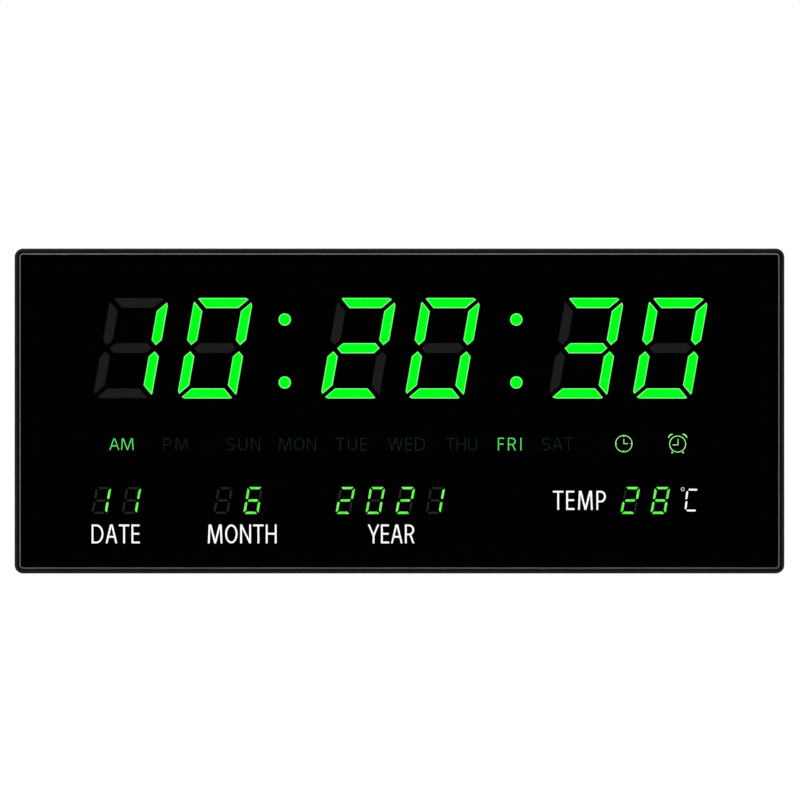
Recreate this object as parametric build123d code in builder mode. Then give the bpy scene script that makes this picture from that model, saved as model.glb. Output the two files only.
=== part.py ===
from build123d import *
import os
from math import radians, tan

# Digital wall clock with a seven-segment display behind a smoked panel.
# X runs to the right as the face is read, Z runs up and the face looks along -Y.
# The origin is the middle of the back, on the plane that touches the wall, and a depth
# is always a distance in front of that plane. Lengths are in millimetres.

os.makedirs("parts", exist_ok=True)

# Outline of the casing
clock_width = 360.0
clock_height = 152.0
corner_radius = 4.0
frame_wall = 1.7
rim_rounding = 0.9
rim_chamfer = 0.3
back_edge_rounding = 3.0
seam_chamfer = 0.4

# Depth stack, from the wall forwards
back_wall = 2.2
component_space = 12.3
board_thickness = 1.6
light_box_depth = 9.4
panel_gap = 0.2
panel_thickness = 2.0
panel_recess = 0.3

# Front panel, its tape and the ledge that carries both
panel_fit = 0.3
panel_bevel = 0.9
tape_thickness = 0.4
tape_width = 8.0
tape_inset = 1.5
ledge_thickness = 2.0
ledge_width = 14.0

# Lip that centres the rear cover in the frame
lip_height = 3.0
lip_thickness = 1.2
lip_root = 3.0
lip_fit = 0.1
lip_to_board = 0.5

# Screws, the posts for the board and the bosses for the rear cover
post_inset = 5.5
post_radius = 3.0
boss_radius = 3.5
boss_room = 0.4
cover_post_radius = 4.5
cover_screw_spacing = 115.0
board_screw_spacing = 57.5
screw_radius = 1.4
screw_grip = 7.0
screw_hole_room = 0.3
screw_pilot_fit = 0.05
screw_tip_room = 1.0
screw_head_radius = 2.8
screw_head_height = 2.0
screw_head_room = 0.4
screw_seat = 3.0
cross_length = 3.2
cross_width = 0.7
cross_depth = 1.0

# Light box and board
light_box_fit = 0.3
light_box_overlap = 4.0
board_fit = 0.6
segment_thickness = 2.0
segment_fit = 0.05

# Large digits: the seven segments of the time
digit_height = 47.1
digit_width = 27.6
digit_stroke = 4.75
digit_gap = 1.45
digit_blunt = 0.7
digit_bevel = 0.4
digit_slant = 10.0
digit_pitch = 39.45
digit_well_step = 0.5
digit_led_spread = 4.5
display_shift = 0.5

# How the rows share the free height of the opening, and the pairs of large digits its
# free width: what is left over lies below the small digits and beside the outer pairs
free_above_time = 0.16
free_below_time = 0.30
free_below_legend = 0.2765
free_between_pairs = 0.3103

# Colon dots
dot_radius = 2.88
dot_spacing = 29.5
dot_row_drop = 1.3
dot_outward = 0.95

# Small digits: date, month, year and temperature
small_height = 12.6
small_width = 7.1
small_stroke = 1.05
small_gap = 0.6
small_blunt = 0.2
small_bevel = 0.1
small_pitch = 14.05
small_well_step = 0.2
date_from_left = 47.45
month_from_date = 56.95
year_shift = -4.3
temperature_from_right = 64.9

# Back-lit legend row: morning and afternoon, seven days, clock and alarm signs.
# The gaps between them share what their widths leave of the row.
legend_widths = [11.2, 10.8, 15.9, 17.3, 14.5, 17.3, 14.5, 11.2, 14.5, 8.4, 8.4]
legend_gap_weights = [1.5, 1.85, 1, 1, 1, 1, 1, 1, 2.1, 1.8]
legend_from_side = 45.1
legend_window_margin = 1.0
legend_window_height = 9.0
legend_film_margin = 3.0
legend_film_thickness = 0.25
legend_film_fit = 0.15

# LED chips on the board, one size for the wide wells and one for the narrow ones
led_length = 2.0
led_width = 1.25
led_height = 0.8
small_led_size = 0.4
small_led_height = 0.4

# Walls of every recess in the back
recess_wall = 1.6
recess_floor = 1.4

# Keyholes for two wall screws
keyhole_spacing = 220.0
keyhole_below_top = 34.0
keyhole_entry_radius = 4.2
keyhole_slot_radius = 2.2
keyhole_slot_length = 8.0
keyhole_room = 5.0
keyhole_margin = 1.0

# Fold-out table legs
leg_spacing = 250.0
leg_hinge_above_bottom = 20.0
leg_length = 48.0
leg_width = 14.0
leg_thickness = 4.0
leg_axis_depth = 2.6
leg_side_gap = 0.4
leg_heel_gap = 3.2
leg_floor_gap = 0.4
leg_finger_gap = 9.0
leg_tip_rounding = 5.0
leg_side_wall = 2.4
leg_pin_radius = 1.0
leg_pin_fit = 0.05
leg_pin_seat_fit = 0.02
leg_groove_width = 0.9
leg_groove_depth = 0.4
leg_groove_pitch = 2.6
leg_groove_count = 4
leg_groove_inset = 6.0

# Coin cell, its door and its contacts
cell_x = -45.0
cell_above_bottom = 56.0
cell_radius = 10.0
cell_thickness = 3.2
cell_cap_radius = 8.8
cell_cap_height = 0.6
cell_gap = 0.3
cell_to_door = 0.6
door_width = 30.0
door_height = 28.5
door_below_cell = 15.5
door_inset = 0.1
door_thickness = 1.8
door_gap = 0.25
door_floor_gap = 0.15
door_barrel_radius = 1.0
door_heel_gap = 1.5
door_trough_gap = 0.3
door_pin_radius = 0.6
door_pin_length = 1.3
door_pin_fit = 0.08
door_pin_end_gap = 0.2
door_groove_length = 14.0
door_groove_width = 0.8
door_groove_pitch = 2.0
door_groove_count = 4
door_groove_depth = 0.4
door_groove_inset = 6.5
thumb_radius = 6.0
thumb_depth = 1.4
contact_width = 3.0
contact_thickness = 0.3
contact_gap = 0.6
contact_bump_radius = 1.5
contact_slot_room = 0.3
contact_tail_drop = 7.0
contact_fit = 0.05

# Setting buttons and their switches
button_names = ["set", "up", "down", "alarm"]
button_pitch = 18.0
button_row_x = 55.0
button_above_middle = 14.0
button_radius = 4.0
button_gap = 0.3
button_inset = 0.4
button_edge_rounding = 0.5
button_flange = 1.2
button_flange_height = 1.0
button_stem_radius = 1.8
button_travel = 0.8
switch_size = 6.0
switch_height = 3.6
plunger_radius = 1.7
plunger_rise = 1.6
plunger_depth = 0.8
plunger_fit = 0.08
plunger_room = 0.6

# Power inlet and the pocket where its plug lies
jack_x = 30.0
jack_width = 9.0
jack_height = 9.5
jack_length = 13.0
jack_axis_height = 6.0
jack_nose_radius = 4.2
jack_nose_fit = 0.2
jack_bore_radius = 2.9
jack_bore_depth = 10.0
jack_pin_radius = 1.0
jack_pin_inset = 1.0
plug_radius = 4.6
plug_room_width = 14.0
plug_room_height = 22.0
plug_floor = 1.2
cord_exit_width = 7.0
cord_exit_past_axis = 2.0

# Other pieces on the back of the board
chip_lead_width = 0.4
chip_lead_reach = 1.4
chip_lead_height = 0.3
chip_lead_pitch = 1.27
chip_row_above_middle = 28.0
chip_gap = 0.15
controller_x = -10.0
controller_length = 18.0
controller_width = 7.5
controller_height = 2.3
controller_leads = 14
driver_spacing = 68.0
driver_length = 10.2
driver_width = 4.0
driver_height = 1.5
driver_leads = 8
crystal_x = 14.0
crystal_above_middle = 10.0
crystal_radius = 1.5
crystal_length = 8.0
buzzer_above_bottom = 38.0
buzzer_radius = 6.0
buzzer_height = 8.5
buzzer_vent_radius = 1.2
buzzer_vent_depth = 2.0
sensor_from_left = 22.0
sensor_above_bottom = 26.0
sensor_bead_radius = 1.6
sensor_lead_radius = 0.3
sensor_lead_length = 5.0
sensor_lead_pitch = 1.6
capacitor_x = 66.0
capacitor_above_bottom = 42.0
capacitor_pitch = 9.0
capacitor_count = 2
capacitor_radius = 3.15
capacitor_height = 7.7
capacitor_rounding = 0.6
resistor_row_x = -30.0
resistor_above_middle = 12.0
resistor_length = 3.2
resistor_width = 1.6
resistor_height = 0.6
resistor_pitch = 5.0
resistor_count = 10
transistor_row_x = -95.0
transistor_length = 2.9
transistor_width = 1.3
transistor_height = 1.0
transistor_pitch = 6.0
transistor_count = 8

# Vents and sound holes in the back
vent_width = 2.2
vent_length = 16.0
vent_pitch = 6.0
vent_count = 11
vent_below_top = 30.0
sensor_vent_length = 10.0
sensor_vent_count = 3
sound_hole_radius = 0.9
sound_ring_radius = 4.0
sound_ring_count = 6

# Shallow bare field in the back
field_x = 78.0
field_above_bottom = 56.0
field_width = 56.0
field_height = 30.0
field_rounding = 2.0
field_depth = 0.4


# Depths of the stack
board_back = back_wall + component_space
board_front = board_back + board_thickness
light_box_front = board_front + light_box_depth
panel_back = light_box_front + panel_gap
panel_front = panel_back + panel_thickness
clock_depth = panel_front + panel_recess
ledge_front = panel_back - tape_thickness
ledge_back = ledge_front - ledge_thickness
part_line = board_back - lip_to_board - lip_height

# Outlines that follow the casing
half_width = clock_width / 2
half_height = clock_height / 2
inner_width = clock_width - 2 * frame_wall
inner_height = clock_height - 2 * frame_wall
inner_radius = corner_radius - frame_wall
opening_width = inner_width - 2 * ledge_width
opening_height = inner_height - 2 * ledge_width
post_x = inner_width / 2 - post_inset
post_z = inner_height / 2 - post_inset
sides = (-1, 1)
board_screws_at = [(x, side * post_z) for side in sides for x in (-post_x, post_x)]
board_screws_at += [(x * board_screw_spacing, side * post_z) for side in sides for x in sides]
cover_screws_at = [(x * cover_screw_spacing, side * post_z) for side in sides for x in (-1, 0, 1)]

# Lean of the digits and rows of the display
digit_lean = tan(radians(digit_slant))
legend_film_height = legend_window_height + 2 * legend_film_margin
free_height = opening_height - digit_height - legend_film_height - small_height
time_z = opening_height / 2 - free_above_time * free_height - digit_height / 2
legend_z = time_z - digit_height / 2 - free_below_time * free_height - legend_film_height / 2
small_z = legend_z - legend_film_height / 2 - free_below_legend * free_height - small_height / 2

# Places along the rows
pair_width = digit_pitch + digit_width
free_width = opening_width - 3 * pair_width
pair_pitch = pair_width + free_between_pairs * free_width
date_x = -half_width + date_from_left
month_x = date_x + month_from_date
temperature_x = half_width - temperature_from_right

# Middle of every large and small digit
time_pairs = {
    "hour": display_shift - pair_pitch,
    "minute": display_shift,
    "second": display_shift + pair_pitch,
}
small_pairs = {"date": date_x, "month": month_x, "temperature": temperature_x}
year_digits = ["thousands", "hundreds", "tens", "units"]
large_digits = {}
for pair, x in time_pairs.items():
    large_digits[f"{pair}_tens"] = (x - digit_pitch / 2, time_z)
    large_digits[f"{pair}_units"] = (x + digit_pitch / 2, time_z)
small_digits = {}
for pair, x in small_pairs.items():
    small_digits[f"{pair}_tens"] = (x - small_pitch / 2, small_z)
    small_digits[f"{pair}_units"] = (x + small_pitch / 2, small_z)
for place, digit in enumerate(year_digits):
    step = place - (len(year_digits) - 1) / 2
    small_digits[f"year_{digit}"] = (year_shift + step * small_pitch, small_z)

# Middle of every colon dot and of every legend window
dot_x = pair_pitch / 2 + dot_outward
dot_z = time_z - dot_row_drop
colon_dots = {
    "left_colon": [(display_shift - dot_x, dot_z + side * dot_spacing / 2) for side in sides],
    "right_colon": [(display_shift + dot_x, dot_z + side * dot_spacing / 2) for side in sides],
}
all_dots = colon_dots["left_colon"] + colon_dots["right_colon"]
legend_free = clock_width - 2 * legend_from_side - sum(legend_widths)
legend_gap = legend_free / sum(legend_gap_weights)
legend_windows = []
legend_x = -half_width + legend_from_side
for width, gap_weight in zip(legend_widths, [*legend_gap_weights, 0]):
    legend_windows.append((legend_x + width / 2, legend_z))
    legend_x += width + gap_weight * legend_gap

# Places on the back
keyholes_at = [(side * keyhole_spacing / 2, half_height - keyhole_below_top) for side in sides]
leg_hinge_z = -half_height + leg_hinge_above_bottom
cell_z = -half_height + cell_above_bottom
door_axis_z = cell_z - door_below_cell
door_axis_depth = door_inset + door_barrel_radius
door_top_z = door_axis_z + door_height
door_seat = door_inset + door_thickness + door_floor_gap
cell_back = door_inset + door_thickness + cell_to_door
cell_front = cell_back + cell_thickness
cell_floor = cell_front + contact_gap
button_first_x = button_row_x - button_pitch * (len(button_names) - 1) / 2
button_xs = [button_first_x + step * button_pitch for step in range(len(button_names))]
buttons_at = [(x, button_above_middle) for x in button_xs]
switch_back = board_back - switch_height
plunger_back = switch_back - plunger_rise
plug_room_bottom = -inner_height / 2 + recess_wall
jack_face_z = plug_room_bottom + plug_room_height
jack_axis_depth = board_back - jack_axis_height
plug_room_depth = jack_axis_depth + plug_radius
buzzer_z = -half_height + buzzer_above_bottom
sensor_at = (-half_width + sensor_from_left, -half_height + sensor_above_bottom)


def layer(depth):
    """Plane parallel to the wall at a depth, with its normal towards the face."""
    return Plane.XZ.offset(depth)


def across(x):
    """Upright plane square to the width, with its normal along X."""
    return Plane.YZ.offset(x)


def level(z):
    """Level plane at a height, with its normal upwards."""
    return Plane.XY.offset(z)


def save(piece, name):
    """Label a finished piece and write it."""
    piece.part.label = name
    export_step(piece.part, f"parts/{name}.step")


# Which of a digit's seven segments lie across it: the cap, the foot and the bar
lying_segments = [True, False, False, True, False, False, True]


def digit_outlines(height, width, stroke, gap, blunt):
    """Corners of the seven segments around a digit's middle, leaning to the right.

    Every end is cut at 45 degrees, a gap away from the line it would meet its neighbour on.
    The outer corners are blunted: cut off across the end by one measure and along the side by
    two more. The corners that the lean makes sharpest, at the upper right and the lower left,
    lose twice as much as the others.
    """
    side = width / 2
    top = height / 2
    half = stroke / 2
    shoulder = gap + half
    bar_tip = side - half - gap
    bar_shoulder = bar_tip - half
    slight = blunt / 2

    def upright(cut):
        """Right-hand upper upright, with its outer corner blunted by a measure."""
        return [
            (side, top - gap - 3 * cut),
            (side, shoulder),
            (side - half, gap),
            (side - stroke, shoulder),
            (side - stroke, top - gap - stroke),
            (side - cut, top - gap - cut),
        ]

    cap = [
        (gap + slight - side, top - slight),
        (gap + 3 * slight - side, top),
        (side - gap - 3 * blunt, top),
        (side - gap - blunt, top - blunt),
        (side - gap - stroke, top - stroke),
        (gap + stroke - side, top - stroke),
    ]
    bar = [
        (-bar_tip, 0),
        (-bar_shoulder, half),
        (bar_shoulder, half),
        (bar_tip, 0),
        (bar_shoulder, -half),
        (-bar_shoulder, -half),
    ]
    segments = [
        cap,
        upright(blunt),
        [(x, -z) for x, z in upright(slight)],
        [(-x, -z) for x, z in cap],
        [(-x, -z) for x, z in upright(blunt)],
        [(-x, z) for x, z in upright(slight)],
        bar,
    ]
    return [[(x + digit_lean * z, z) for x, z in segment] for segment in segments]


def outline_middle(outline):
    """Middle of the box around an outline."""
    all_x = [x for x, z in outline]
    all_z = [z for x, z in outline]
    return (min(all_x) + max(all_x)) / 2, (min(all_z) + max(all_z)) / 2


large_outlines = digit_outlines(digit_height, digit_width, digit_stroke, digit_gap, digit_blunt)
small_outlines = digit_outlines(small_height, small_width, small_stroke, small_gap, small_blunt)

# Front frame: a tube with a ledge inside for the panel, posts for the board
# and bosses for the rear cover
with BuildPart() as front_frame:
    with BuildSketch(layer(part_line)):
        RectangleRounded(clock_width, clock_height, corner_radius)
        RectangleRounded(inner_width, inner_height, inner_radius, mode=Mode.SUBTRACT)
    extrude(amount=clock_depth - part_line)
    fillet(front_frame.faces().sort_by(Axis.Y)[0].outer_wire().edges(), rim_rounding)
    chamfer(front_frame.faces().sort_by(Axis.Y)[0].inner_wires()[0].edges(), rim_chamfer)
    chamfer(front_frame.faces().sort_by(Axis.Y)[-1].outer_wire().edges(), seam_chamfer)
    with BuildSketch(layer(ledge_back)):
        RectangleRounded(inner_width, inner_height, inner_radius)
        Rectangle(opening_width, opening_height, mode=Mode.SUBTRACT)
    extrude(amount=ledge_thickness)
    with BuildSketch(layer(board_front)):
        with Locations(*board_screws_at):
            Circle(post_radius)
    extrude(amount=ledge_back - board_front)
    with BuildSketch(layer(part_line)):
        with Locations(*cover_screws_at):
            Circle(boss_radius)
    extrude(amount=ledge_back - part_line)
    with BuildSketch(layer(board_front)):
        with Locations(*board_screws_at):
            Circle(screw_radius + screw_pilot_fit)
    extrude(amount=screw_grip + screw_tip_room, mode=Mode.SUBTRACT)
    with BuildSketch(layer(part_line)):
        with Locations(*cover_screws_at):
            Circle(screw_radius + screw_pilot_fit)
    extrude(amount=screw_grip + screw_tip_room, mode=Mode.SUBTRACT)
save(front_frame, "front_frame")

# Front panel with a bevel all round its face, and the tape frame behind it
panel_width = inner_width - 2 * panel_fit
panel_height = inner_height - 2 * panel_fit
with BuildPart() as front_panel:
    with BuildSketch(layer(panel_back)):
        RectangleRounded(panel_width, panel_height, inner_radius - panel_fit)
    extrude(amount=panel_thickness)
    chamfer(front_panel.faces().sort_by(Axis.Y)[0].edges(), panel_bevel)
save(front_panel, "front_panel")

with BuildPart() as panel_tape:
    with BuildSketch(layer(ledge_front)):
        Rectangle(panel_width - 2 * tape_inset, panel_height - 2 * tape_inset)
        Rectangle(
            panel_width - 2 * tape_inset - 2 * tape_width,
            panel_height - 2 * tape_inset - 2 * tape_width,
            mode=Mode.SUBTRACT,
        )
    extrude(amount=tape_thickness)
save(panel_tape, "panel_tape")

# Light box: stepped wells, with a flange that the board presses against the ledge
legend_film_width = clock_width - 2 * (legend_from_side - legend_window_margin - legend_film_margin)
segment_seat = light_box_front - segment_thickness
with BuildPart() as light_box:
    with BuildSketch(layer(board_front)):
        Rectangle(opening_width + 2 * light_box_overlap, opening_height + 2 * light_box_overlap)
    extrude(amount=ledge_back - board_front)
    with BuildSketch(layer(ledge_back)):
        Rectangle(opening_width - 2 * light_box_fit, opening_height - 2 * light_box_fit)
    extrude(amount=light_box_front - ledge_back)
    with BuildSketch(layer(segment_seat)):
        with Locations(*large_digits.values()):
            for outline in large_outlines:
                Polygon(*outline)
        with Locations(*small_digits.values()):
            for outline in small_outlines:
                Polygon(*outline)
        offset(amount=segment_fit, kind=Kind.INTERSECTION)
        with Locations(*all_dots):
            Circle(dot_radius + segment_fit)
    extrude(amount=segment_thickness, mode=Mode.SUBTRACT)
    with BuildSketch(layer(board_front)):
        with Locations(*large_digits.values()):
            for outline in large_outlines:
                Polygon(*outline)
        offset(amount=-digit_well_step, kind=Kind.INTERSECTION)
        with Locations(*all_dots):
            Circle(dot_radius - digit_well_step)
        for window, width in zip(legend_windows, legend_widths):
            with Locations(window):
                Rectangle(width + 2 * legend_window_margin, legend_window_height)
    extrude(amount=light_box_depth, mode=Mode.SUBTRACT)
    with BuildSketch(layer(board_front)):
        with Locations(*small_digits.values()):
            for outline in small_outlines:
                Polygon(*outline)
        offset(amount=-small_well_step, kind=Kind.INTERSECTION)
    extrude(amount=light_box_depth, mode=Mode.SUBTRACT)
    with BuildSketch(layer(light_box_front - legend_film_thickness)):
        with Locations((0, legend_z)):
            Rectangle(legend_film_width + 2 * legend_film_fit, legend_film_height + 2 * legend_film_fit)
    extrude(amount=legend_film_thickness, mode=Mode.SUBTRACT)
save(light_box, "light_box")

with BuildPart() as legend_film:
    with BuildSketch(layer(light_box_front - legend_film_thickness)):
        with Locations((0, legend_z)):
            Rectangle(legend_film_width, legend_film_height)
    extrude(amount=legend_film_thickness)
save(legend_film, "legend_film")

# Diffuser segments with bevelled faces, one node of seven for each digit, and the colon dots
for outlines, digits, bevel in (
    (large_outlines, large_digits, digit_bevel),
    (small_outlines, small_digits, small_bevel),
):
    for name, middle in digits.items():
        with BuildPart() as segments:
            with BuildSketch(layer(segment_seat)):
                with Locations(middle):
                    for outline in outlines:
                        Polygon(*outline)
            extrude(amount=segment_thickness)
            chamfer(segments.faces().group_by(Axis.Y)[0].edges(), bevel)
        save(segments, f"{name}_segments")

for name, middles in colon_dots.items():
    with BuildPart() as dots:
        with BuildSketch(layer(segment_seat)):
            with Locations(*middles):
                Circle(dot_radius)
        extrude(amount=segment_thickness)
        chamfer(dots.faces().group_by(Axis.Y)[0].edges(), digit_bevel)
    save(dots, f"{name}_dots")

# Display board, held on the posts and passed by the bosses of the rear cover
with BuildPart() as display_board:
    with BuildSketch(layer(board_back)):
        RectangleRounded(inner_width - 2 * board_fit, inner_height - 2 * board_fit, inner_radius)
        with Locations(*board_screws_at):
            Circle(screw_radius + screw_hole_room, mode=Mode.SUBTRACT)
        with Locations(*cover_screws_at):
            Circle(boss_radius + boss_room, mode=Mode.SUBTRACT)
    extrude(amount=board_thickness)
save(display_board, "display_board")

# LED chips: two behind each large segment, one behind everything else
large_leds_at = []
for outline, lies_across in zip(large_outlines, lying_segments):
    x, z = outline_middle(outline)
    step_x, step_z = (1, 0) if lies_across else (digit_lean, 1)
    for side in sides:
        large_leds_at.append((x + side * digit_led_spread * step_x, z + side * digit_led_spread * step_z))
small_leds_at = [outline_middle(outline) for outline in small_outlines]
with BuildPart() as led_chips:
    with BuildSketch(layer(board_front)):
        with Locations(*legend_windows, *all_dots):
            Rectangle(led_length, led_width)
        with Locations(*large_digits.values()):
            with Locations(*large_leds_at):
                Rectangle(led_length, led_width)
    extrude(amount=led_height)
    with BuildSketch(layer(board_front)):
        with Locations(*small_digits.values()):
            with Locations(*small_leds_at):
                Rectangle(small_led_size, small_led_size)
    extrude(amount=small_led_height)
save(led_chips, "led_chips")

# Chips with two rows of leads on the back of the board
chips = {
    "controller_chip": (
        [controller_x],
        controller_length,
        controller_width,
        controller_height,
        controller_leads,
    ),
    "driver_chips": (
        [controller_x - driver_spacing, controller_x + driver_spacing],
        driver_length,
        driver_width,
        driver_height,
        driver_leads,
    ),
}
for name, (places, length, width, height, leads) in chips.items():
    with BuildPart() as chip:
        with BuildSketch(layer(board_back - chip_gap)):
            with Locations(*[(x, chip_row_above_middle) for x in places]):
                Rectangle(length, width)
        extrude(amount=-height)
        with BuildSketch(layer(board_back)):
            with Locations(*[(x, chip_row_above_middle) for x in places]):
                with GridLocations(chip_lead_pitch, width + chip_lead_reach, leads, 2):
                    Rectangle(chip_lead_width, 2 * chip_lead_reach)
        extrude(amount=-chip_lead_height)
    save(chip, name)

# Watch crystal, lying on the board
with BuildPart() as clock_crystal:
    with BuildSketch(across(crystal_x)):
        with Locations((-(board_back - crystal_radius), crystal_above_middle)):
            Circle(crystal_radius)
    extrude(amount=crystal_length)
save(clock_crystal, "clock_crystal")

# Alarm buzzer with its sound hole
with BuildPart() as buzzer:
    with BuildSketch(layer(board_back)):
        with Locations((0, buzzer_z)):
            Circle(buzzer_radius)
    extrude(amount=-buzzer_height)
    with BuildSketch(layer(board_back - buzzer_height)):
        with Locations((0, buzzer_z)):
            Circle(buzzer_vent_radius)
    extrude(amount=buzzer_vent_depth, mode=Mode.SUBTRACT)
save(buzzer, "buzzer")

# Temperature sensor: a bead on two leads
sensor_x, sensor_z = sensor_at
with BuildPart() as temperature_sensor:
    with BuildSketch(layer(board_back)):
        with Locations(*[(sensor_x + side * sensor_lead_pitch / 2, sensor_z) for side in sides]):
            Circle(sensor_lead_radius)
    extrude(amount=-sensor_lead_length)
    with Locations((sensor_x, sensor_lead_length - board_back, sensor_z)):
        Sphere(sensor_bead_radius)
save(temperature_sensor, "temperature_sensor")

# Smoothing capacitors beside the power inlet
with BuildPart() as capacitors:
    with BuildSketch(layer(board_back)):
        with Locations((capacitor_x, capacitor_above_bottom - half_height)):
            with GridLocations(capacitor_pitch, 0, capacitor_count, 1):
                Circle(capacitor_radius)
    extrude(amount=-capacitor_height)
    fillet(capacitors.faces().group_by(Axis.Y)[-1].edges(), capacitor_rounding)
save(capacitors, "capacitors")

# Rows of chip resistors and digit transistors
with BuildPart() as resistors:
    with BuildSketch(layer(board_back)):
        with Locations((resistor_row_x, resistor_above_middle)):
            with GridLocations(resistor_pitch, 0, resistor_count, 1):
                Rectangle(resistor_width, resistor_length)
    extrude(amount=-resistor_height)
save(resistors, "resistors")

with BuildPart() as digit_transistors:
    with BuildSketch(layer(board_back)):
        with Locations((transistor_row_x, resistor_above_middle)):
            with GridLocations(transistor_pitch, 0, transistor_count, 1):
                Rectangle(transistor_width, transistor_length)
    extrude(amount=-transistor_height)
save(digit_transistors, "digit_transistors")

# Power inlet, facing down into the plug's pocket, and its centre pin
with BuildPart() as dc_jack:
    with BuildSketch(level(jack_face_z + recess_wall)):
        with Locations((jack_x, jack_height / 2 - board_back)):
            Rectangle(jack_width, jack_height)
    extrude(amount=jack_length)
    with BuildSketch(level(jack_face_z)):
        with Locations((jack_x, -jack_axis_depth)):
            Circle(jack_nose_radius)
    extrude(amount=recess_wall)
    with BuildSketch(level(jack_face_z)):
        with Locations((jack_x, -jack_axis_depth)):
            Circle(jack_bore_radius)
    extrude(amount=jack_bore_depth, mode=Mode.SUBTRACT)
save(dc_jack, "dc_jack")

with BuildPart() as dc_jack_pin:
    with BuildSketch(level(jack_face_z + jack_pin_inset)):
        with Locations((jack_x, -jack_axis_depth)):
            Circle(jack_pin_radius)
    extrude(amount=jack_bore_depth - jack_pin_inset)
save(dc_jack_pin, "dc_jack_pin")

# Rear cover: a tray with a lip, posts, and one housing around each recess
keyhole_room_width = 2 * (keyhole_entry_radius + keyhole_margin)
keyhole_room_height = keyhole_room_width + keyhole_slot_length
keyhole_rooms_at = [(x, z + keyhole_slot_length / 2) for x, z in keyholes_at]
keyhole_tops_at = [(x, z + keyhole_slot_length) for x, z in keyholes_at]
leg_room_width = leg_width + 2 * leg_side_gap
leg_room_bottom = leg_hinge_z - leg_heel_gap
leg_room_top = leg_hinge_z + leg_length + leg_finger_gap
leg_room_height = leg_room_top - leg_room_bottom
leg_room_depth = leg_axis_depth + leg_thickness / 2 + leg_floor_gap
leg_rooms_at = [(side * leg_spacing / 2, (leg_room_top + leg_room_bottom) / 2) for side in sides]
leg_pin_length = leg_room_width + 2 * leg_side_wall
door_room_width = door_width + 2 * door_gap
door_room_top = door_top_z + door_gap
door_room_bottom = door_axis_z - door_heel_gap
door_room_at = (cell_x, (door_room_top + door_room_bottom) / 2)
door_room_height = door_room_top - door_room_bottom
trough_at = (cell_x, door_axis_z)
trough_depth = door_axis_depth + door_barrel_radius + door_trough_gap
plug_room_at = (jack_x, plug_room_bottom + plug_room_height / 2)
positive_x = cell_x + cell_radius + contact_fit
negative_tail_z = cell_z - contact_tail_drop
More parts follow.
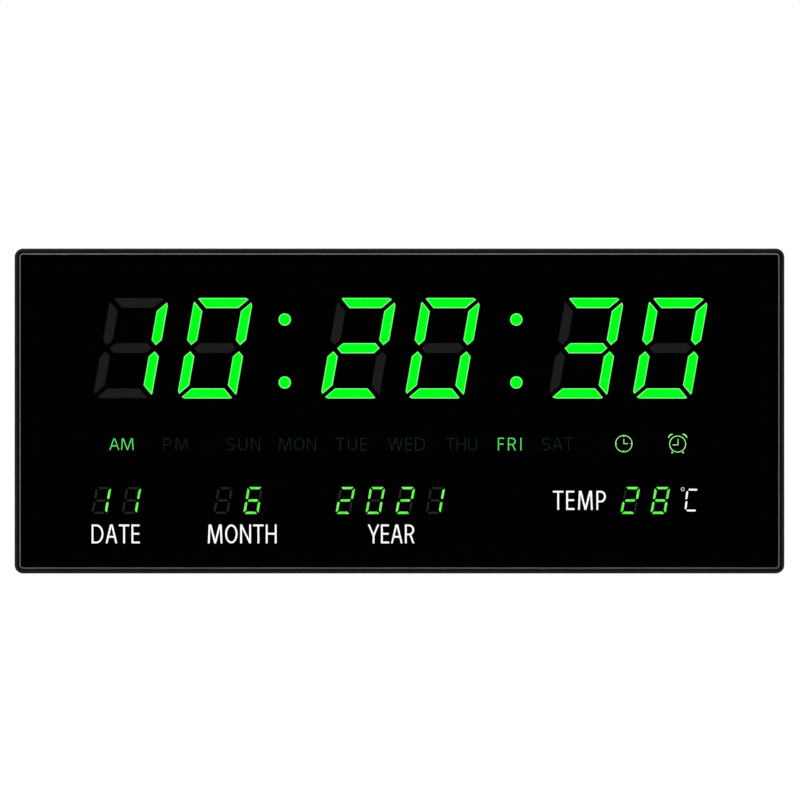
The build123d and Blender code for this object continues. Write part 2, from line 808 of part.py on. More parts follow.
with BuildPart() as rear_cover:
    with BuildSketch(layer(0)):
        RectangleRounded(clock_width, clock_height, corner_radius)
    extrude(amount=part_line)
    fillet(rear_cover.faces().sort_by(Axis.Y)[-1].edges(), back_edge_rounding)
    chamfer(rear_cover.faces().sort_by(Axis.Y)[0].edges(), seam_chamfer)
    with BuildSketch(layer(back_wall)):
        RectangleRounded(inner_width, inner_height, inner_radius)
    extrude(amount=part_line - back_wall, mode=Mode.SUBTRACT)

    # Lip and its root
    lip_width = inner_width - 2 * lip_fit
    lip_tall = inner_height - 2 * lip_fit
    lip_radius = inner_radius - lip_fit
    for start, height, fit in ((part_line - lip_root, lip_root, 0), (part_line, lip_height, lip_fit)):
        with BuildSketch(layer(start)):
            RectangleRounded(inner_width - 2 * fit, inner_height - 2 * fit, inner_radius - fit)
            RectangleRounded(
                lip_width - 2 * lip_thickness,
                lip_tall - 2 * lip_thickness,
                lip_radius - lip_thickness,
                mode=Mode.SUBTRACT,
            )
        extrude(amount=height)

    # Solid posts and housings, before they are hollowed
    with BuildSketch(layer(back_wall)):
        with Locations(*cover_screws_at):
            Circle(cover_post_radius)
    extrude(amount=part_line - back_wall)
    with BuildSketch(layer(back_wall)):
        with Locations(*keyhole_rooms_at):
            Rectangle(keyhole_room_width + 2 * recess_wall, keyhole_room_height + 2 * recess_wall)
    extrude(amount=keyhole_room + recess_floor)
    with BuildSketch(layer(back_wall)):
        with Locations(*leg_rooms_at):
            Rectangle(leg_pin_length, leg_room_height + 2 * recess_wall)
    extrude(amount=leg_room_depth + recess_floor - back_wall)
    with BuildSketch(layer(back_wall)):
        with Locations(door_room_at):
            Rectangle(door_room_width + 2 * recess_wall, door_room_height + 2 * recess_wall)
    extrude(amount=cell_floor + recess_floor - back_wall)
    with BuildSketch(layer(back_wall)):
        with Locations(plug_room_at):
            Rectangle(plug_room_width + 2 * recess_wall, plug_room_height + 2 * recess_wall)
    extrude(amount=plug_room_depth + plug_floor - back_wall)

    # Screw holes, sunk so that the heads lie deep in the posts
    with BuildSketch(layer(0)):
        with Locations(*cover_screws_at):
            Circle(screw_head_radius + screw_head_room)
    extrude(amount=part_line - screw_seat, mode=Mode.SUBTRACT)
    with BuildSketch(layer(0)):
        with Locations(*cover_screws_at):
            Circle(screw_radius + screw_hole_room)
    extrude(amount=part_line, mode=Mode.SUBTRACT)

    # Keyholes and the rooms for the heads of the wall screws
    with BuildSketch(layer(back_wall)):
        with Locations(*keyhole_rooms_at):
            Rectangle(keyhole_room_width, keyhole_room_height)
    extrude(amount=keyhole_room, mode=Mode.SUBTRACT)
    with BuildSketch(layer(0)):
        with Locations(*keyholes_at):
            Circle(keyhole_entry_radius)
        with Locations(*keyhole_rooms_at):
            Rectangle(2 * keyhole_slot_radius, keyhole_slot_length)
        with Locations(*keyhole_tops_at):
            Circle(keyhole_slot_radius)
    extrude(amount=back_wall, mode=Mode.SUBTRACT)

    # Leg recesses and the holes for their pins
    with BuildSketch(layer(0)):
        with Locations(*leg_rooms_at):
            Rectangle(leg_room_width, leg_room_height)
    extrude(amount=leg_room_depth, mode=Mode.SUBTRACT)
    for side in sides:
        with BuildSketch(across(side * leg_spacing / 2 - leg_pin_length / 2)):
            with Locations((-leg_axis_depth, leg_hinge_z)):
                Circle(leg_pin_radius + leg_pin_seat_fit)
        extrude(amount=leg_pin_length, mode=Mode.SUBTRACT)

    # Cell compartment: door recess, hinge trough, thumb notch, cell well and contact slots
    with BuildSketch(layer(0)):
        with Locations(door_room_at):
            Rectangle(door_room_width, door_room_height)
    extrude(amount=door_seat, mode=Mode.SUBTRACT)
    with BuildSketch(layer(0)):
        with Locations((cell_x, door_room_top)):
            Circle(thumb_radius)
    extrude(amount=thumb_depth, mode=Mode.SUBTRACT)
    with BuildSketch(layer(0)):
        with Locations(trough_at):
            Rectangle(door_room_width, 2 * door_heel_gap)
    extrude(amount=trough_depth, mode=Mode.SUBTRACT)
    with BuildSketch(across(cell_x - door_width / 2 - door_pin_length - door_pin_end_gap)):
        with Locations((-door_axis_depth, door_axis_z)):
            Circle(door_pin_radius + door_pin_fit)
    extrude(amount=door_width + 2 * door_pin_length + 2 * door_pin_end_gap, mode=Mode.SUBTRACT)
    with BuildSketch(layer(door_seat)):
        with Locations((cell_x, cell_z)):
            Circle(cell_radius + cell_gap)
        with Locations((positive_x + contact_thickness / 2, cell_z)):
            Rectangle(contact_thickness + 2 * contact_slot_room, contact_width + 2 * contact_slot_room)
    extrude(amount=cell_floor - door_seat, mode=Mode.SUBTRACT)
    with BuildSketch(layer(cell_floor)):
        with Locations((positive_x + contact_thickness / 2, cell_z)):
            Rectangle(contact_thickness + 2 * contact_slot_room, contact_width + 2 * contact_slot_room)
        with Locations((cell_x, negative_tail_z + contact_thickness / 2)):
            Rectangle(contact_width + 2 * contact_slot_room, contact_thickness + 2 * contact_slot_room)
    extrude(amount=recess_floor, mode=Mode.SUBTRACT)

    # Plug pocket, its way out for a cord and the hole for the nose of the inlet
    with BuildSketch(layer(0)):
        with Locations(plug_room_at):
            Rectangle(plug_room_width, plug_room_height)
    extrude(amount=plug_room_depth, mode=Mode.SUBTRACT)
    with BuildSketch(layer(0)):
        with Locations((jack_x, -half_height)):
            Rectangle(cord_exit_width, 2 * (frame_wall + recess_wall))
    extrude(amount=jack_axis_depth + cord_exit_past_axis, mode=Mode.SUBTRACT)
    with BuildSketch(level(jack_face_z)):
        with Locations((jack_x, -jack_axis_depth)):
            Circle(jack_nose_radius + jack_nose_fit)
    extrude(amount=recess_wall, mode=Mode.SUBTRACT)

    # Bare field, button holes, vents and sound holes
    with BuildSketch(layer(0)):
        with Locations((field_x, field_above_bottom - half_height)):
            RectangleRounded(field_width, field_height, field_rounding)
    extrude(amount=field_depth, mode=Mode.SUBTRACT)
    with BuildSketch(layer(0)):
        with Locations(*buttons_at):
            Circle(button_radius + button_gap)
        with Locations((0, half_height - vent_below_top)):
            with GridLocations(vent_pitch, 0, vent_count, 1):
                SlotOverall(vent_length, vent_width, rotation=90)
        with Locations(sensor_at):
            with GridLocations(vent_pitch, 0, sensor_vent_count, 1):
                SlotOverall(sensor_vent_length, vent_width, rotation=90)
        with Locations((0, buzzer_z)):
            Circle(sound_hole_radius)
            with PolarLocations(sound_ring_radius, sound_ring_count):
                Circle(sound_hole_radius)
    extrude(amount=back_wall, mode=Mode.SUBTRACT)
save(rear_cover, "rear_cover")

# Screws with cross recesses, heads towards the wall
screws = {
    "rear_cover_screws": (cover_screws_at, part_line - screw_seat, screw_seat),
    "board_screws": (board_screws_at, board_back, board_thickness),
}
for name, (places, head_seat, clamped) in screws.items():
    with BuildPart() as screw:
        with BuildSketch(layer(head_seat)):
            with Locations(*places):
                Circle(screw_head_radius)
        extrude(amount=-screw_head_height)
        with BuildSketch(layer(head_seat)):
            with Locations(*places):
                Circle(screw_radius)
        extrude(amount=clamped + screw_grip)
        with BuildSketch(layer(head_seat - screw_head_height)):
            with Locations(*places):
                Rectangle(cross_length, cross_width)
                Rectangle(cross_width, cross_length)
        extrude(amount=cross_depth, mode=Mode.SUBTRACT)
    save(screw, name)

# Fold-out legs, folded up into the back, and their steel pins
for name, side in (("left", -1), ("right", 1)):
    leg_x = side * leg_spacing / 2
    with BuildPart() as leg:
        with BuildSketch(across(leg_x - leg_width / 2)):
            with Locations((-leg_axis_depth, leg_hinge_z)):
                Circle(leg_thickness / 2)
                Rectangle(leg_thickness, leg_length, align=(Align.CENTER, Align.MIN))
                Circle(leg_pin_radius + leg_pin_fit, mode=Mode.SUBTRACT)
        extrude(amount=leg_width)
        fillet(leg.edges().filter_by(Axis.Y).group_by(Axis.Z)[-1], leg_tip_rounding)
        with BuildSketch(layer(leg_axis_depth - leg_thickness / 2)):
            with Locations((leg_x, leg_hinge_z + leg_length - leg_groove_inset)):
                with GridLocations(0, leg_groove_pitch, 1, leg_groove_count):
                    Rectangle(leg_width, leg_groove_width)
        extrude(amount=leg_groove_depth, mode=Mode.SUBTRACT)
    save(leg, f"{name}_leg")

    with BuildPart() as leg_pin:
        with BuildSketch(across(leg_x - leg_pin_length / 2)):
            with Locations((-leg_axis_depth, leg_hinge_z)):
                Circle(leg_pin_radius)
        extrude(amount=leg_pin_length)
    save(leg_pin, f"{name}_leg_pin")

# Cell door with its barrel, pins and finger grooves
with BuildPart() as cell_door:
    with BuildSketch(across(cell_x - door_width / 2)):
        with Locations((-door_axis_depth, door_axis_z)):
            Circle(door_barrel_radius)
        with Locations((-door_inset - door_thickness / 2, door_axis_z)):
            Rectangle(door_thickness, door_height, align=(Align.CENTER, Align.MIN))
    extrude(amount=door_width)
    with BuildSketch(across(cell_x - door_width / 2 - door_pin_length)):
        with Locations((-door_axis_depth, door_axis_z)):
            Circle(door_pin_radius)
    extrude(amount=door_width + 2 * door_pin_length)
    with BuildSketch(layer(door_inset)):
        with Locations((cell_x, door_top_z - door_groove_inset)):
            with GridLocations(0, door_groove_pitch, 1, door_groove_count):
                Rectangle(door_groove_length, door_groove_width)
    extrude(amount=door_groove_depth, mode=Mode.SUBTRACT)
save(cell_door, "cell_door")

# Coin cell: can and smaller cap, the cap towards the board
with BuildPart() as coin_cell:
    with BuildSketch(layer(cell_back)):
        with Locations((cell_x, cell_z)):
            Circle(cell_radius)
    extrude(amount=cell_thickness - cell_cap_height)
    with BuildSketch(layer(cell_back)):
        with Locations((cell_x, cell_z)):
            Circle(cell_cap_radius)
    extrude(amount=cell_thickness)
save(coin_cell, "coin_cell")

# Cell contacts: strips that run through the compartment's floor to the board
with BuildPart() as negative_contact:
    with BuildSketch(layer(cell_floor - contact_thickness)):
        with Locations((cell_x, negative_tail_z)):
            Rectangle(contact_width, contact_tail_drop + contact_bump_radius, align=(Align.CENTER, Align.MIN))
    extrude(amount=contact_thickness)
    with BuildSketch(layer(cell_front)):
        with Locations((cell_x, cell_z)):
            Circle(contact_bump_radius)
    extrude(amount=contact_gap)
    with BuildSketch(layer(cell_floor - contact_thickness)):
        with Locations((cell_x, negative_tail_z + contact_thickness / 2)):
            Rectangle(contact_width, contact_thickness)
    extrude(amount=board_back - cell_floor + contact_thickness)
save(negative_contact, "negative_contact")

with BuildPart() as positive_contact:
    with BuildSketch(layer(cell_back)):
        with Locations((positive_x + contact_thickness / 2, cell_z)):
            Rectangle(contact_thickness, contact_width)
    extrude(amount=board_back - cell_back)
save(positive_contact, "positive_contact")

# Switch housings on the board, each with a guide for its plunger
with BuildPart() as switch_housings:
    with BuildSketch(layer(switch_back)):
        with Locations(*buttons_at):
            Rectangle(switch_size, switch_size)
    extrude(amount=switch_height)
    with BuildSketch(layer(switch_back)):
        with Locations(*buttons_at):
            Circle(plunger_radius + plunger_fit)
    extrude(amount=plunger_depth + button_travel + plunger_room, mode=Mode.SUBTRACT)
save(switch_housings, "switch_housings")

# Setting buttons, each with a flange behind the back wall and a stem to its plunger
for name, place in zip(button_names, buttons_at):
    with BuildPart() as button:
        with BuildSketch(layer(button_inset)):
            with Locations(place):
                Circle(button_radius)
        extrude(amount=back_wall - button_inset)
        fillet(button.faces().sort_by(Axis.Y)[-1].edges(), button_edge_rounding)
        with BuildSketch(layer(back_wall)):
            with Locations(place):
                Circle(button_radius + button_flange)
        extrude(amount=button_flange_height)
        with BuildSketch(layer(back_wall)):
            with Locations(place):
                Circle(button_stem_radius)
        extrude(amount=plunger_back - back_wall)
    save(button, f"{name}_button")

    with BuildPart() as plunger:
        with BuildSketch(layer(plunger_back)):
            with Locations(place):
                Circle(plunger_radius)
        extrude(amount=plunger_rise + plunger_depth)
    save(plunger, f"{name}_plunger")
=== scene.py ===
from math import cos, pi, radians, sin, tan

import bmesh
import bpy
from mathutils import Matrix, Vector
from mathutils.geometry import delaunay_2d_cdt


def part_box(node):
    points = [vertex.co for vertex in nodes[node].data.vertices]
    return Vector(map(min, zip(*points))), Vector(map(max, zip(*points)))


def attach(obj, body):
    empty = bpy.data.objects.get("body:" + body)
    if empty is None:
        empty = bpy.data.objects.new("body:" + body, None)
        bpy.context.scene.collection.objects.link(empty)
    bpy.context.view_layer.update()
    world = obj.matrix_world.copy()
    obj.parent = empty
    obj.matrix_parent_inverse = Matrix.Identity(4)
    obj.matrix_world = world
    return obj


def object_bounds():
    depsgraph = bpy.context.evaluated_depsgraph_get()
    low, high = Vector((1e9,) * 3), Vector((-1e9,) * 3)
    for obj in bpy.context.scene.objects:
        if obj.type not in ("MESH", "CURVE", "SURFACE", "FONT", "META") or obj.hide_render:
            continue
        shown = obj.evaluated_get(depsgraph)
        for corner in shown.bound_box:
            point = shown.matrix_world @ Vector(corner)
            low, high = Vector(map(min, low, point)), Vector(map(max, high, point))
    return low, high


# Digital wall clock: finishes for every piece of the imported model, the back-lit and printed
# words and signs, and a plain studio. Lengths are in metres, except that words and signs are
# laid out in millimetres. X runs to the right as the face is read, the face looks along -Y and
# Z runs up.

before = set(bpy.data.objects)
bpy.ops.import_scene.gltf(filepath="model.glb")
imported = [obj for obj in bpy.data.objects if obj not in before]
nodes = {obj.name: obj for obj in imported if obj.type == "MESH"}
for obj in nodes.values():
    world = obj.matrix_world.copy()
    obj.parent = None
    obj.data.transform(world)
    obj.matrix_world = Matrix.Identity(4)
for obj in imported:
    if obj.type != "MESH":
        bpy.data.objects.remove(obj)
cad_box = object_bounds()
scene = bpy.context.scene
MM = 0.001

# What the display shows, with the segments of a digit named a to g as usual
SHOWN = {
    "hour": "10",
    "minute": "20",
    "second": "30",
    "date": "11",
    "month": " 6",
    "year": "2021",
    "temperature": "28",
}
SEGMENTS = {
    " ": "",
    "0": "abcdef",
    "1": "bc",
    "2": "abdeg",
    "3": "abcdg",
    "6": "acdefg",
    "8": "abcdefg",
}
PLACES = {2: ("tens", "units"), 4: ("thousands", "hundreds", "tens", "units")}
LARGE_GROUPS = ("hour", "minute", "second")
DIGIT_SLANT = radians(10)
LARGE_STROKE = 4.75 * MM
SMALL_STROKE = 1.05 * MM

# Share of light that one face of the smoked panel stops; light from the display crosses two
PANEL_ALPHA = 0.41
THROUGH_PANEL = (1 - PANEL_ALPHA) ** 2

# Depths that the words lie on
panel_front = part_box("front_panel")[0].y
film_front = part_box("legend_film")[0].y
cover_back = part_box("rear_cover")[1].y


class Finish:
    """A Principled material whose textures are placed by the object's own metres."""

    EDGE_SAMPLES = 6

    def __init__(self, name, values):
        self.material = bpy.data.materials.new(name)
        self.material.use_nodes = True
        self.tree = self.material.node_tree
        self.shader = self.tree.nodes["Principled BSDF"]
        self.place = self.add("ShaderNodeTexCoord").outputs["Object"]
        for socket, value in values.items():
            self.shader.inputs[socket].default_value = value

    def add(self, kind, inputs=None, **settings):
        """A new node; each input is a plain value, or another node's output to link."""
        made = self.tree.nodes.new(kind)
        for name, value in settings.items():
            setattr(made, name, value)
        for socket, value in (inputs or {}).items():
            if isinstance(value, bpy.types.NodeSocket):
                self.tree.links.new(value, made.inputs[socket])
            else:
                made.inputs[socket].default_value = value
        return made

    def link(self, output, socket):
        """Drive one of the shader's sockets."""
        self.tree.links.new(output, self.shader.inputs[socket])

    def noise(self, patch, detail=2.0, stretch=(1, 1, 1)):
        """Soft random field with patches of a size, drawn out along an axis by stretch."""
        spread = self.add(
            "ShaderNodeMapping", {"Vector": self.place, "Scale": [1 / (patch * drawn) for drawn in stretch]}
        )
        return self.add(
            "ShaderNodeTexNoise", {"Vector": spread.outputs["Vector"], "Scale": 1.0, "Detail": detail}
        ).outputs["Fac"]

    def between(self, factor, low, high, start=0.35, end=0.65):
        """Number that goes from low to high as the factor goes from start to end."""
        return self.add(
            "ShaderNodeMapRange",
            {"Value": factor, "From Min": start, "From Max": end, "To Min": low, "To Max": high},
        ).outputs["Result"]

    def colours(self, factor, dark, light, start=0.3, end=0.7):
        """Colour that goes from dark to light as the factor goes from start to end."""
        ramp = self.add("ShaderNodeValToRGB", {"Fac": factor})
        for element, position, colour in zip(ramp.color_ramp.elements, (start, end), (dark, light)):
            element.position = position
            element.color = (*colour, 1)
        return ramp.outputs["Color"]

    def paint(self, factor, dark, light, start=0.3, end=0.7):
        """Base colour that goes from dark to light as the factor goes from start to end."""
        self.link(self.colours(factor, dark, light, start, end), "Base Color")

    def mix(self, factor, first, second):
        """Colour that goes from the first to the second as the factor goes from 0 to 1."""
        return self.add("ShaderNodeMix", {0: factor, 6: first, 7: second}, data_type="RGBA").outputs[2]

    def roughen(self, factor, low, high, start=0.35, end=0.65):
        """Roughness that goes from low to high as the factor goes from start to end."""
        self.link(self.between(factor, low, high, start, end), "Roughness")

    def relief(self, height, depth, edge_radius=0.0):
        """Bump of a depth, on edges that look rounded by a radius."""
        inputs = {"Height": height, "Distance": depth, "Strength": 1.0}
        if edge_radius:
            rounded = self.add("ShaderNodeBevel", {"Radius": edge_radius}, samples=self.EDGE_SAMPLES)
            inputs["Normal"] = rounded.outputs["Normal"]
        self.link(self.add("ShaderNodeBump", inputs).outputs["Normal"], "Normal")


def grey(level, cool=1.0):
    """Grey of a level, with its blue raised by a share where it is a cool one."""
    return level, level, level * cool


def moulded(name, dark, light, rough, grain, depth, specular=0.3, edge_radius=0.15 * MM):
    """Moulded plastic: a fine spark-eroded grain, slow changes of tone, and edges that look rounded."""
    finish = Finish(name, {"Specular IOR Level": specular})
    finish.paint(finish.noise(patch=22 * MM, detail=3.0), dark, light)
    fine = finish.noise(grain)
    finish.roughen(fine, rough - 0.07, rough + 0.09)
    finish.relief(fine, depth, edge_radius)
    return finish.material


def metal(name, dark, light, rough, drawn=(1, 1, 1)):
    """Plated or bright metal with fine tool marks drawn out along an axis, and faint stains."""
    finish = Finish(name, {"Metallic": 1.0})
    finish.paint(finish.noise(patch=4 * MM), dark, light)
    marks = finish.noise(patch=0.25 * MM, detail=3.0, stretch=drawn)
    finish.roughen(marks, rough - 0.06, rough + 0.1)
    finish.relief(marks, depth=0.004 * MM, edge_radius=0.08 * MM)
    return finish.material


def smoked_acrylic():
    """Polished dark acrylic, see-through, with the faintest haze of wiping in its gloss."""
    finish = Finish("smoked_acrylic", {"Base Color": (*grey(0.0003), 1), "Alpha": PANEL_ALPHA, "IOR": 1.49})
    haze = finish.noise(patch=30 * MM, detail=4.0, stretch=(2.5, 1, 1))
    finish.roughen(haze, 0.035, 0.085)
    return finish.material


def sawn_bevel():
    """Bevelled edge of the acrylic: satin where the cutter left it, so it shows as a pale line."""
    finish = Finish("sawn_bevel", {"Specular IOR Level": 0.4})
    chatter = finish.noise(patch=0.5 * MM, stretch=(6, 1, 6))
    finish.paint(chatter, grey(0.11, 1.02), grey(0.15, 1.02))
    finish.roughen(chatter, 0.36, 0.52)
    finish.relief(chatter, depth=0.01 * MM)
    return finish.material


def glowing(name, dim, bright, patch, start=0.3, end=0.7):
    """Lit diffuser: its colour as it shows through the panel, a little unlike from place to place."""
    body = (0, dim[1] / 10, 0, 1)
    strength = 1 / THROUGH_PANEL
    finish = Finish(name, {"Base Color": body, "Specular IOR Level": 0.1, "Emission Strength": strength})
    cloud = finish.noise(patch)
    finish.link(finish.colours(cloud, dim, bright, start, end), "Emission Color")
    finish.roughen(cloud, 0.45, 0.6)
    return finish.material


def unlit(name, dark, light, rough=0.55, patch=0.6 * MM, specular=0.1):
    """Unlit diffuser or word: a dull translucent grey or green with a fine mottle."""
    finish = Finish(name, {"Specular IOR Level": specular})
    mottle = finish.noise(patch)
    finish.paint(mottle, dark, light)
    finish.roughen(mottle, rough - 0.05, rough + 0.08)
    return finish.material


def screen_print(name, dark, light):
    """Screen-printed ink: opaque, with a slight orange-peel."""
    finish = Finish(name, {"Specular IOR Level": 0.2})
    peel = finish.noise(patch=0.35 * MM)
    finish.paint(peel, dark, light, 0.25, 0.6)
    finish.roughen(peel, 0.45, 0.6)
    finish.relief(peel, depth=0.004 * MM)
    return finish.material


def circuit_board():
    """Glass-fibre board under green solder mask, with copper tracks showing paler through it."""
    finish = Finish("circuit_board", {"Specular IOR Level": 0.5})
    turned = finish.add("ShaderNodeMapping", {"Vector": finish.place, "Rotation": (pi / 2, 0, 0)})
    layout = {
        "Vector": turned.outputs["Vector"],
        "Scale": 120.0,
        "Mortar Size": 0.06,
        "Mortar Smooth": 0.2,
        "Brick Width": 1.7,
        "Row Height": 0.45,
    }
    tracks = finish.add("ShaderNodeTexBrick", layout, offset=0.37).outputs["Fac"]
    weave = finish.noise(patch=0.6 * MM)
    mask = finish.colours(weave, (0.008, 0.07, 0.028), (0.014, 0.10, 0.042))
    finish.link(finish.mix(tracks, mask, (0.03, 0.19, 0.075, 1)), "Base Color")
    finish.roughen(weave, 0.25, 0.4)
    finish.relief(tracks, depth=0.03 * MM)
    return finish.material


def foam_tape():
    """Closed-cell foam tape: black, full of fine pores."""
    finish = Finish("foam_tape", {"Specular IOR Level": 0.02})
    pore_size = 0.5 * MM
    pores = finish.add("ShaderNodeTexVoronoi", {"Vector": finish.place, "Scale": 1 / pore_size})
    finish.paint(pores.outputs["Distance"], grey(0.0002), grey(0.0007), 0.1, 0.6)
    finish.roughen(pores.outputs["Distance"], 0.85, 0.98, 0.1, 0.7)
    finish.relief(pores.outputs["Distance"], depth=0.05 * MM)
    return finish.material


def clear_resin():
    """Cast resin of the LED chips: milky yellow over the die."""
    finish = Finish("clear_resin", {"Specular IOR Level": 0.5})
    cloud = finish.noise(patch=0.4 * MM)
    finish.paint(cloud, (0.62, 0.6, 0.2), (0.8, 0.79, 0.55))
    finish.roughen(cloud, 0.15, 0.3)
    return finish.material


def banded_ceramic(middle, glazed=1.1 * MM, blend=0.04 * MM):
    """Chip resistor: dark ceramic, glazed to a distance from its middle and tinned at both ends."""
    finish = Finish("banded_ceramic", {"Specular IOR Level": 0.5})
    height = finish.add("ShaderNodeSeparateXYZ", {"Vector": finish.place}).outputs["Z"]
    shifted = finish.add("ShaderNodeMath", {0: height, 1: middle}, operation="SUBTRACT").outputs["Value"]
    away = finish.add("ShaderNodeMath", {0: shifted}, operation="ABSOLUTE").outputs["Value"]
    tinned = finish.between(away, 0.0, 1.0, glazed, glazed + blend)
    speckle = finish.noise(patch=0.3 * MM)
    glaze = finish.colours(speckle, grey(0.012, 1.15), grey(0.03, 1.15))
    finish.link(finish.mix(tinned, glaze, (0.62, 0.62, 0.6, 1)), "Base Color")
    finish.link(tinned, "Metallic")
    finish.roughen(speckle, 0.3, 0.45)
    return finish.material


def dress(names, *materials):
    """Give CAD nodes their finishes, the first on every face."""
    for name in names:
        slots = nodes[name].data.materials
        slots.clear()
        for material in materials:
            slots.append(material)


def repaint(name, chooses):
    """Give each face of a node the finish whose number chooses returns for its middle and normal."""
    for face in nodes[name].data.polygons:
        face.material_index = int(chooses(face.center, face.normal))


# Shares of a normal along Y: at least the first is square on to the front or the back, and
# less than the second is a side
SQUARE_ON = 0.95
SIDE_ON = 0.2

# Casing, legs and door; the front frame is blacker, and its inside gets a near-black dull finish as painted
# shade
frame_plastic = moulded(
    "frame_plastic", grey(0.005, 1.06), grey(0.0075, 1.06), 0.52, 0.35 * MM, 0.012 * MM, specular=0.1
)
cover_plastic = moulded(
    "cover_plastic", grey(0.009, 1.04), grey(0.0125, 1.04), 0.5, 0.45 * MM, 0.02 * MM, specular=0.25
)
# Near-black dull plastic: the light box's own colour, and painted shade on the inside of the front frame
dull_black_and_painted_shade = moulded("dull_black_and_painted_shade", grey(0.0002), grey(0.0006), 0.85, 0.4 * MM, 0.01 * MM, specular=0.02)
dress(["rear_cover", "left_leg", "right_leg", "cell_door"], cover_plastic)
dress(["front_frame"], frame_plastic, dull_black_and_painted_shade)
panel_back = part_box("front_panel")[1].y
INWARD = 10 * MM


def is_painted_shade_in_frame(middle, normal):
    """True for faces behind the panel and for the inner walls of the rim, which look towards the middle: the
    faces that get painted shade.
    """
    behind_panel = middle.y > panel_back and -normal.y > SQUARE_ON
    looks_inward = normal.x * middle.x + normal.z * middle.z < -INWARD
    return behind_panel or looks_inward


# Painted shade: the inside of the front frame and its ledge behind the panel get the near-black finish
repaint("front_frame", is_painted_shade_in_frame)

# Smoked panel, with its bevel picked out by the slope of the faces
dress(["front_panel"], smoked_acrylic(), sawn_bevel())
repaint("front_panel", lambda middle, normal: SIDE_ON < -normal.y < SQUARE_ON)

# Inside of the display: segments and dots have paler edges
dress(["panel_tape"], foam_tape())
dress(["light_box"], dull_black_and_painted_shade)
film_black = unlit("film_black", (0.0001, 0.0002, 0.0001), (0.0004, 0.0006, 0.0004), 0.7, 1.5 * MM, 0.02)
dress(["legend_film"], film_black)
lit_large = glowing("lit_large", (0.0, 0.97, 0.010), (0.0005, 1.0, 0.014), 9 * MM)
lit_edge = glowing("lit_edge", (0.14, 1.0, 0.16), (0.24, 1.0, 0.26), 4 * MM)
lit_small = glowing("lit_small", (0.09, 0.85, 0.055), (0.24, 0.93, 0.17), 2.2 * MM, 0.4, 0.68)
unlit_large = unlit("unlit_large", grey(0.071), grey(0.087))
unlit_edge = unlit("unlit_edge", grey(0.1), grey(0.13))
unlit_small = unlit("unlit_small", (0.1, 0.095, 0.1), (0.15, 0.145, 0.15))
LARGE_FINISHES = (unlit_large, unlit_edge, lit_large, lit_edge)
SMALL_FINISHES = (unlit_small, unlit_small, lit_small, lit_small)

# How far below the top of a digit its outermost corner lies, in strokes
CORNER_DROP = 0.6


def segment_at(across, up, half_width, half_height, stroke):
    """Letter of the segment that holds a point of an upright digit, measured from the digit's middle."""
    to_side = half_width - abs(across)
    to_end = half_height - abs(up)
    if to_end < to_side and abs(up) > half_height / 2:
        return "a" if up > 0 else "d"
    if abs(up) < half_width - stroke / 2 - abs(across):
        return "g"
    if across > 0:
        return "b" if up > 0 else "c"
    return "f" if up > 0 else "e"


def light_digit(name, shown, stroke, finishes):
    """Light the segments that a figure needs; the finishes are unlit, unlit edge, lit and lit edge."""
    low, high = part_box(name)
    middle = (low + high) / 2
    half_height = (high.z - low.z) / 2
    lean = tan(DIGIT_SLANT)
    half_width = (high.x - low.x) / 2 - lean * (half_height - CORNER_DROP * stroke)

    def finish_of(face_middle, normal):
        up = face_middle.z - middle.z
        across = face_middle.x - middle.x - lean * up
        is_lit = segment_at(across, up, half_width, half_height, stroke) in SEGMENTS[shown]
        is_edge = abs(normal.y) < SQUARE_ON
        return 2 * is_lit + is_edge

    dress([name], *finishes)
    repaint(name, finish_of)


for group, figures in SHOWN.items():
    for place, shown in zip(PLACES[len(figures)], figures):
        name = f"{group}_{place}_segments"
        if group in LARGE_GROUPS:
            light_digit(name, shown, LARGE_STROKE, LARGE_FINISHES)
        else:
            light_digit(name, shown, SMALL_STROKE, SMALL_FINISHES)
for name in ("left_colon_dots", "right_colon_dots"):
    dress([name], lit_large, lit_edge)
    repaint(name, lambda middle, normal: abs(normal.y) < SQUARE_ON)

# Board and what stands on it
tinned_leads = metal("tinned_leads", (0.5, 0.5, 0.49), (0.68, 0.68, 0.66), 0.3)
bright_metal = metal("bright_metal", grey(0.55, 1.02), grey(0.74, 1.01), 0.25)
pin_steel = metal("pin_steel", grey(0.4, 1.02), grey(0.56, 1.02), 0.3, drawn=(8, 1, 1))
contact_metal = metal("contact_metal", (0.55, 0.53, 0.45), (0.72, 0.7, 0.62), 0.28, drawn=(1, 1, 8))
chip_plastic = moulded("chip_plastic", grey(0.01, 1.1), grey(0.018, 1.05), 0.5, 0.2 * MM, 0.006 * MM)
sleeve_film = moulded(
    "sleeve_film", (0.008, 0.010, 0.018), (0.012, 0.015, 0.028), 0.35, 0.6 * MM, 0.004 * MM, specular=0.5
)
sensor_resin = moulded(
    "sensor_resin", grey(0.012, 1.1), grey(0.02, 1.1), 0.25, 0.9 * MM, 0.01 * MM, specular=0.5
)
jack_plastic = moulded("jack_plastic", grey(0.009, 1.1), grey(0.014, 1.07), 0.4, 0.3 * MM, 0.006 * MM)
dress(["display_board"], circuit_board())
dress(["led_chips"], clear_resin())
dress(["digit_transistors", "buzzer", "switch_housings"], chip_plastic)
dress(["clock_crystal", "coin_cell", "dc_jack_pin"], bright_metal)
dress(["left_leg_pin", "right_leg_pin"], pin_steel)
dress(["negative_contact", "positive_contact"], contact_metal)
dress(["temperature_sensor"], sensor_resin)
dress(["dc_jack"], jack_plastic)
dress(["capacitors"], sleeve_film, bright_metal)
repaint("capacitors", lambda middle, normal: normal.y > SQUARE_ON)
resistor_row = sum(corner.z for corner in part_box("resistors")) / 2
dress(["resistors"], banded_ceramic(resistor_row))

# Chips: what lies outside the width of the body is a lead
CHIP_WIDTHS = {"controller_chip": 7.5 * MM, "driver_chips": 4.0 * MM}
LEAD_MARGIN = 0.05 * MM
for name, width in CHIP_WIDTHS.items():
    row = sum(corner.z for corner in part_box(name)) / 2
    dress([name], chip_plastic, tinned_leads)
    repaint(name, lambda middle, normal: abs(middle.z - row) > width / 2 + LEAD_MARGIN)
